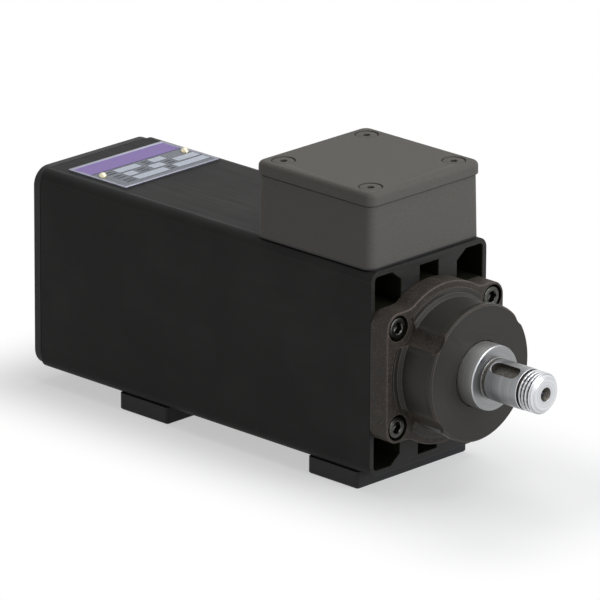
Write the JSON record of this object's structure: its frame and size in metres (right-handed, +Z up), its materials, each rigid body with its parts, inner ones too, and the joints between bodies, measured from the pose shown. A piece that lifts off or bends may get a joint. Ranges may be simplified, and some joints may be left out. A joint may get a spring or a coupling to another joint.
{
  "type": "motor spindle",
  "caption": "Foot-mounted motor spindle: air-channelled square housing, terminal box on top, cast bearing nose and a keyed shaft with a threaded end for a blade or cutter.",
  "frame": {"origin": "middle of the four foot holes on the plane the feet stand on, straight below the spindle axis", "axes": "+X along the spindle axis towards the tool end, +Z up from the feet, +Y to the left seen from behind"},
  "size_m": [0.3561, 0.094, 0.1744],
  "materials": {
    "housing_coating": "dark anodised extrusion",
    "foot_coating": "dark anodised bar",
    "nose_casting": "dark casting with a turned nose",
    "box_paint": "warm grey painted casting",
    "cast_aluminium": "plain casting",
    "shaft_steel": "ground",
    "bearing_steel": "polished",
    "cage_polymer": "glass-filled polyamide",
    "dark_screw": "black oxide",
    "plated_steel": "zinc plated",
    "lamination_steel": "stacked sheets",
    "winding_copper": "varnished copper wire",
    "fan_plastic": "moulded",
    "seal_rubber": "nitrile rubber",
    "block_plastic": "moulded thermoset",
    "stud_brass": "plain",
    "rivet_brass": "plain",
    "lead_insulation": "silicone insulation over copper",
    "plate_aluminium": "printed sheet"
  },
  "bodies": {
    "frame": {"housing": "housing_coating", "front_foot": "foot_coating", "rear_foot": "foot_coating", "foot_screws": "dark_screw", "front_flange": "nose_casting", "flange_screws": "dark_screw", "shaft_seal": "seal_rubber", "bearing_cap": "cast_aluminium", "bearing_cap_screws": "dark_screw", "stator_core": "lamination_steel", "stator_windings": "winding_copper", "rear_shield": "cast_aluminium", "rear_shield_screws": "dark_screw", "wave_spring": "bearing_steel", "rear_cover": "housing_coating", "rear_cover_screws": "dark_screw", "box_gasket": "seal_rubber", "terminal_box": "box_paint", "box_screws": "dark_screw", "lid_gasket": "seal_rubber", "terminal_lid": "box_paint", "lid_screws": "dark_screw", "terminal_block": "block_plastic", "block_screws": "plated_steel", "terminal_studs": "stud_brass", "terminal_links": "stud_brass", "terminal_nuts": "stud_brass", "earth_screw": "plated_steel", "lead_sleeve": "seal_rubber", "motor_leads": "lead_insulation", "nameplate": "plate_aluminium", "nameplate_rivets": "rivet_brass", "front_bearing_outer_ring": "bearing_steel", "middle_bearing_outer_ring": "bearing_steel", "rear_bearing_outer_ring": "bearing_steel"},
    "rotor": {"shaft": "shaft_steel", "rotor_core": "lamination_steel", "rotor_end_rings": "cast_aluminium", "bearing_lock_nut": "bearing_steel", "front_bearing_inner_ring": "bearing_steel", "middle_bearing_inner_ring": "bearing_steel", "rear_bearing_inner_ring": "bearing_steel", "fan": "fan_plastic", "fan_clip": "bearing_steel"},
    "front_cage": {"front_bearing_balls": "bearing_steel", "front_bearing_cage": "cage_polymer"},
    "middle_cage": {"middle_bearing_balls": "bearing_steel", "middle_bearing_cage": "cage_polymer"},
    "rear_cage": {"rear_bearing_balls": "bearing_steel", "rear_bearing_cage": "cage_polymer"}
  },
  "joints": [
    {"name": "shaft_spin", "type": "hinge", "parent": "frame", "child": "rotor", "pos_m": [0.17055, 0, 0.07], "axis": [1, 0, 0], "continuous": true},
    {"name": "front_cage_spin", "type": "hinge", "parent": "frame", "child": "front_cage", "pos_m": [0.1275, 0, 0.07], "axis": [1, 0, 0], "continuous": true},
    {"name": "middle_cage_spin", "type": "hinge", "parent": "frame", "child": "middle_cage", "pos_m": [0.1115, 0, 0.07], "axis": [1, 0, 0], "continuous": true},
    {"name": "rear_cage_spin", "type": "hinge", "parent": "frame", "child": "rear_cage", "pos_m": [-0.0985, 0, 0.07], "axis": [1, 0, 0], "continuous": true}
  ],
  "couplings": [
    {"joint": "front_cage_spin", "follows": "shaft_spin", "ratio": 0.3978},
    {"joint": "middle_cage_spin", "follows": "shaft_spin", "ratio": 0.3978},
    {"joint": "rear_cage_spin", "follows": "shaft_spin", "ratio": 0.3836}
  ]
}
